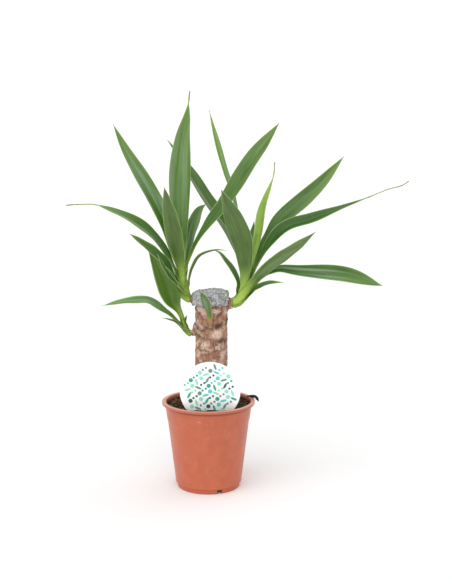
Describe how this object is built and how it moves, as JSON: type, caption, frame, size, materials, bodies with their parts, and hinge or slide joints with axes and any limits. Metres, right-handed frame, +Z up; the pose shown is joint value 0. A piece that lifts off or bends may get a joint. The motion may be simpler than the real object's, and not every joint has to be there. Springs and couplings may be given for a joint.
{
  "type": "potted yucca",
  "caption": "Young yucca in a round nursery pot: a waxed cane with side shoots of sword-shaped leaves, potting soil and a blank round plant label.",
  "frame": {"origin": "on the floor, under the middle of the pot", "axes": "+Z up along the pot and the cane; +X to the right seen from the front; the label faces -Y"},
  "size_m": [0.4314, 0.1614, 0.5072],
  "materials": {
    "pot_plastic": "satin",
    "soil": "matte",
    "bark": "matte",
    "wax": "matte",
    "label_plastic": "satin",
    "bark_chip_wood": "matte",
    "shoot_stem": "satin",
    "leaf": "satin"
  },
  "bodies": {
    "root": {"pot": "pot_plastic", "potting_soil": "soil", "cane": "bark", "wax_cap": "wax", "plant_label": "label_plastic", "bark_chip": "bark_chip_wood", "right_shoot_stem": "shoot_stem", "left_shoot_stem": "shoot_stem", "low_left_shoot_stem": "shoot_stem", "front_shoot_stem": "shoot_stem", "left_shoot_leaf_01": "leaf", "left_shoot_leaf_02": "leaf", "left_shoot_leaf_03": "leaf", "left_shoot_leaf_04": "leaf", "left_shoot_leaf_05": "leaf", "left_shoot_leaf_06": "leaf", "left_shoot_leaf_07": "leaf", "left_shoot_leaf_08": "leaf", "left_shoot_leaf_09": "leaf", "low_left_shoot_leaf_01": "leaf", "low_left_shoot_leaf_02": "leaf", "low_left_shoot_leaf_03": "leaf", "low_left_shoot_leaf_04": "leaf", "right_shoot_leaf_01": "leaf", "right_shoot_leaf_02": "leaf", "right_shoot_leaf_03": "leaf", "right_shoot_leaf_04": "leaf", "right_shoot_leaf_05": "leaf", "right_shoot_leaf_06": "leaf", "right_shoot_leaf_07": "leaf", "right_shoot_leaf_08": "leaf", "right_shoot_leaf_09": "leaf", "right_shoot_leaf_10": "leaf", "right_shoot_leaf_11": "leaf", "front_shoot_leaf_01": "leaf", "front_shoot_leaf_02": "leaf"}
  },
  "joints": []
}
